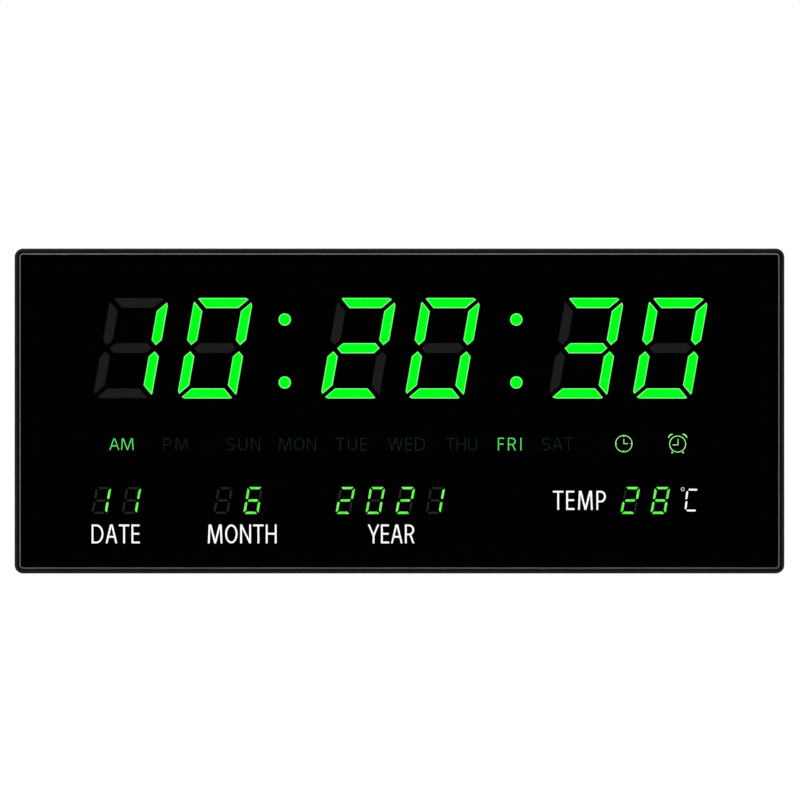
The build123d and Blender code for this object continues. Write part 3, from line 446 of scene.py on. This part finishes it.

# Screws, with painted shade in the cross recesses of the heads that show: a darker steel there; the floors
# and the middles of the walls of a recess lie between two shares of its depth
screw_steel = metal("screw_steel", grey(0.26), grey(0.42), 0.32)
# Darker steel that paints shade into the cross recesses
recess_painted_shade = metal("recess_painted_shade", grey(0.05), grey(0.09), 0.5)
RECESS_DEPTH = 1.0 * MM
RECESS_FLOOR = (0.5, 1.2)
RECESS_WALL = (0.3, 0.7)
head_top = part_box("rear_cover_screws")[1].y


def is_painted_shade_recess(middle, normal):
    """True for the floors and walls of the cross recesses in the screw heads, which get painted shade."""
    share = (head_top - middle.y) / RECESS_DEPTH
    is_floor = normal.y > SQUARE_ON and RECESS_FLOOR[0] < share < RECESS_FLOOR[1]
    is_wall = RECESS_WALL[0] < share < RECESS_WALL[1]
    return is_floor or is_wall


dress(["rear_cover_screws"], screw_steel, recess_painted_shade)
# Painted shade: the recess faces get the darker steel
repaint("rear_cover_screws", is_painted_shade_recess)
dress(["board_screws"], screw_steel)

# Setting buttons and their switch plungers
button_plastic = moulded(
    "button_plastic", grey(0.022, 1.05), grey(0.032, 1.03), 0.42, 0.3 * MM, 0.005 * MM, 0.4, 0.2 * MM
)
plunger_plastic = moulded("plunger_plastic", grey(0.02), grey(0.03), 0.45, 0.3 * MM, 0.005 * MM)
BUTTONS = {"set": "SET", "up": "UP", "down": "DOWN", "alarm": "ALARM"}
for name in BUTTONS:
    dress([f"{name}_button"], button_plastic)
    dress([f"{name}_plunger"], plunger_plastic)

# Words and signs: closed meshes as thick as a coat of ink, on the front or on the back
FRONT = 1
BACK = -1
INK = 0.03 * MM

# Merging of outlines: the kind of result that leaves holes open, how near counts as touching,
# and the decimals of a millimetre to which points are rounded, so that those that meet are one
OPEN_HOLES = 3
MERGE_DISTANCE = 1e-4
DECIMALS = 3


def counterclockwise(outline):
    """The outline, turned round if it runs clockwise."""
    sides = zip(outline, outline[1:] + outline[:1])
    doubled_area = sum(x * next_z - next_x * z for (x, z), (next_x, next_z) in sides)
    return outline if doubled_area > 0 else outline[::-1]


def add_sign(name, outlines, surface, material, side=FRONT):
    """A piece on the casing made of closed outlines, given by their X and Z and merged where they overlap."""
    corners = []
    rings = []
    for outline in outlines:
        rings.append(list(range(len(corners), len(corners) + len(outline))))
        for x, z in counterclockwise(outline):
            corners.append(Vector((round(x, DECIMALS), round(z, DECIMALS))))
    merged = delaunay_2d_cdt(corners, [], rings, OPEN_HOLES, MERGE_DISTANCE)
    points, faces, sources = merged[0], merged[2], merged[5]
    inked = [face for face, source in zip(faces, sources) if source]
    edges = {(face[place - 1], face[place]) for face in inked for place in range(len(face))}
    built = bmesh.new()
    back, front = (
        [built.verts.new((x * MM, surface - side * out, z * MM)) for x, z in points] for out in (0, INK)
    )
    for face in inked:
        built.faces.new([back[corner] for corner in face])
        built.faces.new([front[corner] for corner in reversed(face)])
    for start, end in sorted(edges):
        if (end, start) not in edges:
            built.faces.new((back[end], back[start], front[start], front[end]))
    bmesh.ops.recalc_face_normals(built, faces=built.faces)
    mesh = bpy.data.meshes.new(name)
    built.to_mesh(mesh)
    built.free()
    mesh.materials.append(material)
    piece = bpy.data.objects.new(name, mesh)
    scene.collection.objects.link(piece)
    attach(piece, "casing")


class Pen:
    """Draws a capital in a box, as strokes of one thickness; places are shares of the box."""

    def __init__(self, width, height, thick):
        self.width = width
        self.height = height
        self.thick = thick
        self.half = thick / height / 2

    def slant(self, foot, top, low=0.0, high=1.0):
        """Leaning stroke with level ends, from one share of the width at its foot to another at its top."""
        room = self.width - self.thick
        left = [(foot * room, low * self.height), (top * room, high * self.height)]
        right = [(x + self.thick, z) for x, z in left]
        return left + right[::-1]

    def upright(self, across, low=0.0, high=1.0):
        """Stroke straight up."""
        return self.slant(across, across, low, high)

    def level(self, up, left=0.0, right=1.0):
        """Level stroke."""
        foot = up * (self.height - self.thick)
        ends = [(left * self.width, foot), (right * self.width, foot)]
        return ends + [(x, z + self.thick) for x, z in reversed(ends)]

    def bowl(self, left, right, low, high, start=-90, end=90, steps=20):
        """Curved stroke round an oval in a part of the box, between two angles in degrees."""
        middle = Vector(((left + right) / 2 * self.width, (low + high) / 2 * self.height))
        reach = Vector(((right - left) / 2 * self.width, (high - low) / 2 * self.height))
        angles = [radians(start + (end - start) * step / steps) for step in range(steps + 1)]
        turns = [Vector((cos(angle), sin(angle))) for angle in angles]
        outer = [middle + turn * reach for turn in turns]
        inner = [middle + turn * (reach - Vector((self.thick, self.thick))) for turn in turns]
        return outer + inner[::-1]


# Capitals: the width as a share of the height, how far neighbours tuck in, and the strokes
LETTERS = {
    "A": (0.615, 0.04, lambda pen: [pen.slant(0, 0.46), pen.slant(1, 0.54), pen.level(0.33, 0.25, 0.75)]),
    "C": (0.6, 0.01, lambda pen: [pen.bowl(0, 1.1, 0, 1, 45, 315)]),
    "D": (
        0.625,
        0.01,
        lambda pen: [pen.upright(0), pen.level(0, 0, 0.4), pen.level(1, 0, 0.4), pen.bowl(-0.2, 1, 0, 1)],
    ),
    "E": (
        0.437,
        0.01,
        lambda pen: [pen.upright(0), pen.level(0), pen.level(0.51, 0, 0.94), pen.level(1, 0, 0.97)],
    ),
    "F": (0.38, 0.02, lambda pen: [pen.upright(0), pen.level(0.5, 0, 0.93), pen.level(1)]),
    "H": (0.571, 0, lambda pen: [pen.upright(0), pen.upright(1), pen.level(0.51)]),
    "I": (0.11, 0, lambda pen: [pen.upright(0.5)]),
    "L": (0.42, 0.02, lambda pen: [pen.upright(0), pen.level(0)]),
    "M": (
        0.772,
        0,
        lambda pen: [pen.slant(0, 0.06), pen.slant(1, 0.94), pen.slant(0.5, 0.13), pen.slant(0.5, 0.87)],
    ),
    "N": (0.571, 0, lambda pen: [pen.upright(0), pen.upright(1), pen.slant(1, 0)]),
    "O": (0.653, 0.01, lambda pen: [pen.bowl(0, 1, 0, 1, 0, 180), pen.bowl(0, 1, 0, 1, 180, 360)]),
    "P": (
        0.494,
        0,
        lambda pen: [
            pen.upright(0),
            pen.level(0.43, 0, 0.45),
            pen.level(1, 0, 0.45),
            pen.bowl(-0.1, 1, 0.43 * (1 - 2 * pen.half), 1),
        ],
    ),
    "R": (
        0.5,
        -0.02,
        lambda pen: [
            pen.upright(0),
            pen.level(0.47, 0, 0.6),
            pen.level(1, 0, 0.45),
            pen.bowl(-0.1, 0.98, 0.47 * (1 - 2 * pen.half), 1),
            pen.slant(1, 0.58, 0, 0.47),
        ],
    ),
    "S": (
        0.54,
        0.01,
        lambda pen: [pen.bowl(0, 1, 0.5 - pen.half, 1, 30, 270), pen.bowl(0, 1, 0, 0.5 + pen.half, -150, 90)],
    ),
    "T": (0.555, 0.04, lambda pen: [pen.level(1), pen.upright(0.5)]),
    "U": (
        0.56,
        0,
        lambda pen: [pen.upright(0, 0.35), pen.upright(1, 0.35), pen.bowl(0, 1, 0, 0.7, 180, 360)],
    ),
    "V": (0.58, 0.03, lambda pen: [pen.slant(0.5, 0), pen.slant(0.5, 1)]),
    "W": (
        0.94,
        0.02,
        lambda pen: [pen.slant(0.25, 0), pen.slant(0.25, 0.5), pen.slant(0.75, 0.5), pen.slant(0.75, 1)],
    ),
    "Y": (
        0.6,
        0.04,
        lambda pen: [pen.slant(0.5, 0, 0.4), pen.slant(0.5, 1, 0.4), pen.upright(0.5, 0, 0.42)],
    ),
    "5": (
        0.48,
        0.01,
        lambda pen: [pen.level(1, 0.1, 0.95), pen.upright(0.08, 0.48), pen.bowl(0, 1, 0, 0.62, -150, 130)],
    ),
    " ": (0.25, 0, lambda pen: []),
}


def set_word(text, middle, foot, cap, thick, stretch=1.0, width=None, gap=0.0, side=FRONT):
    """Outlines of a word: the letters are stretched, and the gaps fill any width that is given."""
    widths = [LETTERS[letter][0] * cap * stretch for letter in text]
    tucks = [LETTERS[letter][1] * cap for letter in text]
    tucked = 2 * sum(tucks) - tucks[0] - tucks[-1]
    if width:
        gap = (width - sum(widths) + tucked) / (len(text) - 1)
    total = sum(widths) - tucked + gap * (len(text) - 1)
    outlines = []
    left = tucks[0] - total / 2
    for letter, letter_width, tuck in zip(text, widths, tucks):
        left -= tuck
        for outline in LETTERS[letter][2](Pen(letter_width, cap, thick)):
            outlines.append([(middle + side * (left + x), foot + z) for x, z in outline])
        left += letter_width + gap - tuck
    return outlines


def bar(start, end, width, point=0.0):
    """Outline of a straight stroke between two points, with ends that come to a point over a length."""
    start, end = Vector(start), Vector(end)
    along = (end - start).normalized()
    aside = Vector((-along.y, along.x)) * width / 2
    inset = along * point
    sides = [start + inset - aside, end - inset - aside, end - inset + aside, start + inset + aside]
    if point:
        return [start, *sides[:2], end, *sides[2:]]
    return sides


def polar(middle, radius, angle):
    """Point at a distance and an angle in degrees from a middle."""
    return middle[0] + radius * cos(radians(angle)), middle[1] + radius * sin(radians(angle))


def arc(middle, radius, width, start, end, steps=24, taper=0.0):
    """Outline of a stroke along a circle, between two angles in degrees, thinner by a share at its ends."""
    outer = []
    inner = []
    for step in range(steps + 1):
        along = step / steps
        angle = start + (end - start) * along
        half = width / 2 * (1 - taper * (2 * along - 1) ** 2)
        outer.append(polar(middle, radius + half, angle))
        inner.append(polar(middle, radius - half, angle))
    return outer + inner[::-1]


def ring(middle, radius, width):
    """Outlines of a whole circle, in two halves."""
    return [arc(middle, radius, width, 0, 180), arc(middle, radius, width, 180, 360)]


def disc(middle, radius, steps=16):
    """Outline of a round spot."""
    return [polar(middle, radius, 360 * step / steps) for step in range(steps)]


def hands(middle, upright, level, width):
    """Two clock hands: one straight up and one level, to the left where its length is negative."""
    foot = polar(middle, width / 2, 270)
    return [
        bar(polar(middle, upright, 90), foot, width),
        bar(middle, polar(middle, level, 0), width),
    ]


# Back-lit words on the legend film: middle and width of each, and its foot, height and stretch
lit_word = glowing("lit_word", (0.035, 0.57, 0.07), (0.16, 0.82, 0.18), 1.6 * MM)
unlit_word = unlit("unlit_word", (0.03, 0.078, 0.04), (0.056, 0.11, 0.065), 0.6, 1.2 * MM)
LEGEND_STROKE = 0.53
HALVES = {"foot": -18.2, "cap": 5.4, "stretch": 1.4}
DAYS = {"foot": -18.5, "cap": 6.0, "stretch": 1.25}
LEGENDS = [
    ("AM", -130.15, 11.35, HALVES),
    ("PM", -104.8, 11.3, HALVES),
    ("SUN", -73.2, 15.9, DAYS),
    ("MON", -47.7, 17.3, DAYS),
    ("TUE", -22.4, 14.8, DAYS),
    ("WED", 3.3, 17.3, DAYS),
    ("THU", 29.1, 14.5, DAYS),
    ("FRI", 51.7, 11.2, DAYS),
    ("SAT", 74.0, 14.5, DAYS),
]
LIT_LEGENDS = ("AM", "FRI")
for text, middle, width, face in LEGENDS:
    word = set_word(text, middle, thick=LEGEND_STROKE, width=width, **face)
    glow = lit_word if text in LIT_LEGENDS else unlit_word
    add_sign(f"legend_{text.lower()}", word, film_front, glow)

# Clock sign near the end of the row: a ring with four ticks and two hands
lit_sign = glowing("lit_sign", (0.16, 0.95, 0.13), (0.56, 1.0, 0.46), 1.4 * MM)
CLOCK_MIDDLE = (105.05, -15.3)
CLOCK_RADIUS = 3.84
CLOCK_STROKE = 0.33
CLOCK_HANDS = (2.2, 2.0)
TICK_LENGTH = 0.7
clock_sign = ring(CLOCK_MIDDLE, CLOCK_RADIUS, CLOCK_STROKE)
for quarter in range(4):
    tick_start, tick_end = (
        polar(CLOCK_MIDDLE, radius, 90 * quarter) for radius in (CLOCK_RADIUS - TICK_LENGTH, CLOCK_RADIUS)
    )
    clock_sign.append(bar(tick_start, tick_end, CLOCK_STROKE))
clock_sign += hands(CLOCK_MIDDLE, *CLOCK_HANDS, CLOCK_STROKE)
add_sign("sign_clock", clock_sign, film_front, lit_sign)

# Alarm sign at the end of the row: a ring with two hands, two bells and two feet
ALARM_MIDDLE = (130.25, -15.45)
ALARM_RADIUS = 3.75
ALARM_STROKE = 0.35
ALARM_HANDS = (2.8, -2.5)
HANDS_JOIN = (130.43, -15.85)
BELL_LEAN = 41.5
BELL_DISTANCE = 3.45
BELL_RADIUS = 2.0
BELL_STROKE = 0.58
BELL_SPREAD = 42
BELL_TAPER = 0.5
FOOT_LEAN = 32.5
FOOT_DISTANCE = 4.7
FOOT_RADIUS = 0.42
alarm_sign = ring(ALARM_MIDDLE, ALARM_RADIUS, ALARM_STROKE)
alarm_sign += hands(HANDS_JOIN, *ALARM_HANDS, ALARM_STROKE)
for side in (-1, 1):
    lean = 90 + side * BELL_LEAN
    bell_middle = polar(ALARM_MIDDLE, BELL_DISTANCE, lean)
    bell_ends = (lean - BELL_SPREAD, lean + BELL_SPREAD)
    alarm_sign.append(arc(bell_middle, BELL_RADIUS, BELL_STROKE, *bell_ends, taper=BELL_TAPER))
    alarm_sign.append(disc(polar(ALARM_MIDDLE, FOOT_DISTANCE, 270 + side * FOOT_LEAN), FOOT_RADIUS))
add_sign("sign_alarm", alarm_sign, film_front, lit_sign)

# White words printed on the panel: middle, foot, cap height and width of each
white_print = screen_print("white_print", grey(0.88), grey(0.95))
LABEL_STROKE = 0.83
LABELS = [
    ("DATE", -132.65, -61.85, 8.8, 22.5),
    ("MONTH", -73.5, -61.85, 8.8, 32.1),
    ("YEAR", -3.9, -61.85, 8.8, 21.7),
    ("TEMP", 84.1, -46.2, 8.9, 24.75),
]
for text, middle, foot, cap, width in LABELS:
    word = set_word(text, middle, foot, cap, LABEL_STROKE, width=width)
    add_sign(f"label_{text.lower()}", word, panel_front, white_print)

# Degree sign and the C beside it, drawn like segments
DEGREE_MIDDLE = (132.4, -36.55)
DEGREE_RADIUS = 0.76
DEGREE_STROKE = 0.18
C_STROKE = 0.86
C_POINT = 0.33
C_BARS = [
    ((135.1, -36.78), (139.3, -36.78)),
    ((134.6, -37.4), (134.07, -41.3)),
    ((134.23, -42.05), (133.7, -45.95)),
    ((134.15, -46.5), (138.6, -46.5)),
]
degree_sign = ring(DEGREE_MIDDLE, DEGREE_RADIUS, DEGREE_STROKE)
degree_sign += [bar(start, end, C_STROKE, C_POINT) for start, end in C_BARS]
add_sign("label_degree", degree_sign, panel_front, white_print)

# Words above the setting buttons, printed on the back
grey_print = screen_print("grey_print", grey(0.36, 1.03), grey(0.46, 1.02))
BACK_WORD_CAP = 2.5
BACK_WORD_STROKE = 0.37
BACK_WORD_STRETCH = 1.3
BACK_WORD_GAP = 0.6
BUTTON_WORD_RISE = 3.6


def add_back_word(name, text, middle, foot):
    """A small word on the back, in its own proportions."""
    word = set_word(
        text, middle, foot, BACK_WORD_CAP, BACK_WORD_STROKE, BACK_WORD_STRETCH, gap=BACK_WORD_GAP, side=BACK
    )
    add_sign(name, word, cover_back, grey_print, side=BACK)


for name, text in BUTTONS.items():
    low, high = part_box(f"{name}_button")
    button_x = (low.x + high.x) / 2 / MM
    add_back_word(f"button_word_{name}", text, button_x, high.z / MM + BUTTON_WORD_RISE)

# Marks above the inlet: what it takes, and the usual sign for a plug whose centre is positive
POLARITY_RISE = 6.0
POLARITY_REACH = 5.2
POLARITY_STROKE = 0.35
POLARITY_RADIUS = 1.35
POLARITY_SPOT = 0.55
POLARITY_ARM = 0.75
INLET_WORD_RISE = 2.6
inlet_low, inlet_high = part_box("dc_jack")
inlet_x = (inlet_low.x + inlet_high.x) / 2 / MM
inlet_mark = (inlet_x, inlet_low.z / MM + POLARITY_RISE)
plus, minus = ((inlet_x + side * POLARITY_REACH, inlet_mark[1]) for side in (-1, 1))
polarity_sign = [disc(inlet_mark, POLARITY_SPOT), arc(inlet_mark, POLARITY_RADIUS, POLARITY_STROKE, 225, 495)]
for end, towards, start in ((plus, 180, 0), (minus, 0, POLARITY_RADIUS)):
    link = (polar(inlet_mark, start, towards), polar(inlet_mark, POLARITY_REACH - POLARITY_RADIUS, towards))
    polarity_sign += ring(end, POLARITY_RADIUS, POLARITY_STROKE)
    polarity_sign.append(bar(*link, POLARITY_STROKE))
    polarity_sign.append(bar(polar(end, POLARITY_ARM, 0), polar(end, POLARITY_ARM, 180), POLARITY_STROKE))
polarity_sign.append(bar(polar(plus, POLARITY_ARM, 90), polar(plus, POLARITY_ARM, 270), POLARITY_STROKE))
add_sign("inlet_sign", polarity_sign, cover_back, grey_print, side=BACK)
add_back_word("inlet_word", "DC 5V", inlet_x, inlet_mark[1] + INLET_WORD_RISE)

# Plain studio: pale floor, white surroundings, soft lights and a dark card in front, which keeps
# bright things out of the mirror of the panel
FLOOR_DROP = 1.2
FLOOR_SIZE = 3.0
FLOOR_FADE = (0.2, 0.48)
FLOOR_GLOW = 0.7
AMBIENT = 0.3
CARD_SIZE = (2.4, 1.4)
CARD_BEHIND_CAMERA = 0.3
CAMERA_DISTANCE = 1.4
FIELD_WIDTH = 373.9 * MM
AIM = (0.25 * MM, 5.15 * MM)
SENSOR = 36.0

# Soft boxes: the place and the size of each in metres, and its power in watts
SOFT_BOXES = {
    "left_box": ((-1.5, -1.3, 0.9), 1.1, 26),
    "right_box": ((1.5, -1.3, 0.7), 1.1, 20),
    "top_box": ((0, -0.3, 1.6), 1.0, 14),
    "low_box": ((0, -1.2, -1.0), 0.8, 7),
    "back_left_box": ((-1.3, 1.4, 0.9), 1.1, 24),
    "back_right_box": ((1.3, 1.4, 0.9), 1.1, 24),
}


def add_plane(name, size, place, turn, material):
    """A flat staged sheet."""
    mesh = bpy.data.meshes.new(name)
    half_x, half_y = size[0] / 2, size[1] / 2
    corners = [(-half_x, -half_y, 0), (half_x, -half_y, 0), (half_x, half_y, 0), (-half_x, half_y, 0)]
    mesh.from_pydata(corners, [], [(0, 1, 2, 3)])
    mesh.materials.append(material)
    sheet = bpy.data.objects.new(name, mesh)
    sheet.location = place
    sheet.rotation_euler = turn
    scene.collection.objects.link(sheet)
    return sheet


def seen_directly(tree):
    """1 for rays from the camera and for those that a mirror or a glass sends on."""
    path = tree.nodes.new("ShaderNodeLightPath").outputs
    total = path["Is Camera Ray"]
    for kind in ("Is Glossy Ray", "Is Transmission Ray"):
        larger = tree.nodes.new("ShaderNodeMath")
        larger.operation = "MAXIMUM"
        tree.links.new(total, larger.inputs[0])
        tree.links.new(path[kind], larger.inputs[1])
        total = larger.outputs[0]
    return total


def pale_floor():
    """White floor that glows to the camera, takes the object's shadow and fades out at its edge."""
    white = (1, 1, 1, 1)
    finish = Finish("pale_floor", {"Roughness": 0.9, "Specular IOR Level": 0.0, "Emission Color": white})
    away = finish.add("ShaderNodeVectorMath", {0: finish.place}, operation="LENGTH").outputs["Value"]
    fade = finish.between(away, 0.0, 1.0, *(share * FLOOR_SIZE for share in FLOOR_FADE))
    pale = finish.colours(finish.noise(patch=40 * MM), grey(0.27), grey(0.3))
    finish.link(finish.mix(fade, pale, (0, 0, 0, 1)), "Base Color")
    level = finish.between(fade, FLOOR_GLOW, 1.0, 0.0, 1.0)
    glow = finish.add("ShaderNodeMath", {0: seen_directly(finish.tree), 1: level}, operation="MULTIPLY")
    finish.link(glow.outputs["Value"], "Emission Strength")
    return finish.material


def black_felt():
    """Felt of the dark card."""
    finish = Finish("black_felt", {"Specular IOR Level": 0.0})
    finish.paint(finish.noise(patch=3 * MM), grey(0.0), grey(0.002))
    return finish.material


def white_world():
    """Even pale light from all round, white where it is seen."""
    world = bpy.data.worlds.new("studio")
    world.use_nodes = True
    tree = world.node_tree
    background = tree.nodes["Background"]
    background.inputs["Color"].default_value = (1, 1, 1, 1)
    strength = tree.nodes.new("ShaderNodeMapRange")
    strength.inputs["To Min"].default_value = AMBIENT
    strength.inputs["To Max"].default_value = 1.0
    tree.links.new(seen_directly(tree), strength.inputs["Value"])
    tree.links.new(strength.outputs["Result"], background.inputs["Strength"])
    scene.world = world


def soft_light(name, place, size, power):
    """A square soft box that looks at the origin."""
    lamp = bpy.data.lights.new(name, "AREA")
    lamp.size = size
    lamp.energy = power
    box = bpy.data.objects.new(name, lamp)
    box.location = place
    box.rotation_euler = (-Vector(place)).to_track_quat("-Z", "Y").to_euler()
    scene.collection.objects.link(box)


floor_z = cad_box[0].z - FLOOR_DROP
add_plane("floor", (FLOOR_SIZE, FLOOR_SIZE), (0, 0, floor_z), (0, 0, 0), pale_floor())
camera_y = cad_box[0].y - CAMERA_DISTANCE
card = add_plane("dark_card", CARD_SIZE, (0, camera_y - CARD_BEHIND_CAMERA, 0), (pi / 2, 0, 0), black_felt())
card.visible_camera = False
card.visible_diffuse = False
card.visible_transmission = False
card.visible_shadow = False

white_world()
for name, (place, size, power) in SOFT_BOXES.items():
    soft_light(name, place, size, power)

lens = bpy.data.cameras.new("camera")
lens.sensor_width = SENSOR
lens.lens = SENSOR * CAMERA_DISTANCE / FIELD_WIDTH
lens.clip_end = 100
camera = bpy.data.objects.new("camera", lens)
camera.location = (AIM[0], camera_y, AIM[1])
camera.rotation_euler = (pi / 2, 0, 0)
scene.collection.objects.link(camera)
scene.camera = camera
scene.view_settings.view_transform = "Standard"
